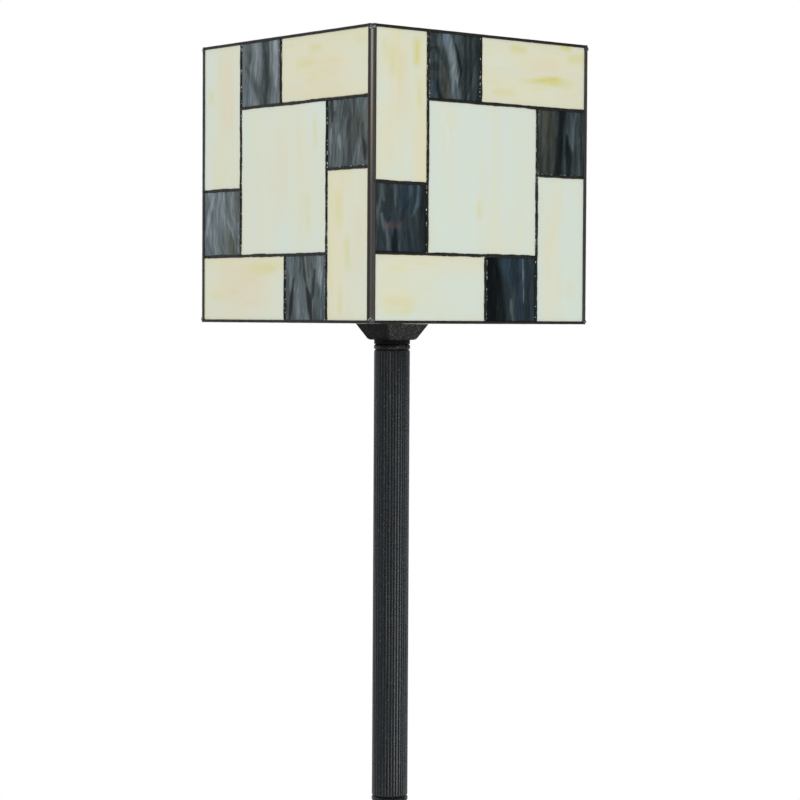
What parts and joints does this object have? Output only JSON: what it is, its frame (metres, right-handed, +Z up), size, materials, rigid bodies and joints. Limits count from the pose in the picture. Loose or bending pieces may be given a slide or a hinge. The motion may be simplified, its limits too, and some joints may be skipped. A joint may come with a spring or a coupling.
{
  "type": "floor lamp",
  "caption": "Floor lamp with a cube shade of leaded opalescent glass in a pinwheel pattern, on a fluted metal pole with a stepped square base.",
  "frame": {"origin": "on the floor, under the middle of the pole", "axes": "+Z up along the pole, -Y out of the front face of the shade, +Y out of the back with the cord inlet"},
  "size_m": [0.25, 0.25, 1.5089],
  "materials": {
    "black_metal": "antique black, satin",
    "solder": "black patina",
    "cream_glass": "opalescent, streaky",
    "dark_glass": "wispy, streaky",
    "iron": "as cast",
    "steel": "zinc plated",
    "rubber": "matte",
    "black_plastic": "moulded",
    "white_plastic": "moulded",
    "lead_sheath": "matte",
    "porcelain": "unglazed",
    "brass": "plain",
    "black_glass": "fused",
    "clear_glass": "clear",
    "tungsten": "wire"
  },
  "bodies": {
    "lamp": {"base_cover": "black_metal", "base_cup": "black_metal", "fitter_cup": "black_metal", "lower_pole": "black_metal", "middle_pole": "black_metal", "upper_pole": "black_metal", "base_joint_ring": "black_metal", "lower_joint_ring": "black_metal", "middle_joint_ring": "black_metal", "top_joint_ring": "black_metal", "base_weight": "iron", "base_plate": "steel", "base_screws": "steel", "base_washer": "steel", "base_nut": "steel", "base_stud": "steel", "cup_washer": "steel", "cup_nut": "steel", "top_stud": "steel", "lower_joint_stud": "steel", "middle_joint_stud": "steel", "lower_pole_plugs": "steel", "middle_pole_plugs": "steel", "upper_pole_plugs": "steel", "base_feet": "rubber", "cord_gland": "black_plastic", "holder_cap": "black_plastic", "holder_skirt": "black_plastic", "terminal_block": "white_plastic", "inner_lead": "lead_sheath", "holder_insert": "porcelain", "holder_screws": "brass", "holder_shell": "brass", "holder_contact": "brass"},
    "shade": {"spider_ring": "steel", "spider_arms": "steel", "corner_cames": "solder", "top_rim": "solder", "bottom_rim": "solder", "front_seams": "solder", "right_seams": "solder", "back_seams": "solder", "left_seams": "solder", "front_cream_panes": "cream_glass", "right_cream_panes": "cream_glass", "back_cream_panes": "cream_glass", "left_cream_panes": "cream_glass", "front_dark_panes": "dark_glass", "right_dark_panes": "dark_glass", "back_dark_panes": "dark_glass", "left_dark_panes": "dark_glass"},
    "shade_ring": {"shade_ring": "black_plastic"},
    "bulb": {"bulb_cap": "brass", "bulb_insulator": "black_glass", "bulb_button": "brass", "bulb_envelope": "clear_glass", "bulb_stem": "clear_glass", "bulb_filament": "tungsten"}
  },
  "joints": [
    {"name": "shade_swivel", "type": "hinge", "parent": "lamp", "child": "shade", "pos_m": [0, 0, 1.2789], "axis": [0, 0, 1], "continuous": true},
    {"name": "shade_ring_turn", "type": "hinge", "parent": "lamp", "child": "shade_ring", "pos_m": [0, 0, 1.2789], "axis": [0, 0, 1], "range_deg": [0, 1080]},
    {"name": "bulb_turn", "type": "hinge", "parent": "lamp", "child": "bulb", "pos_m": [0, 0, 1.2789], "axis": [0, 0, 1], "range_deg": [0, 1440]}
  ]
}
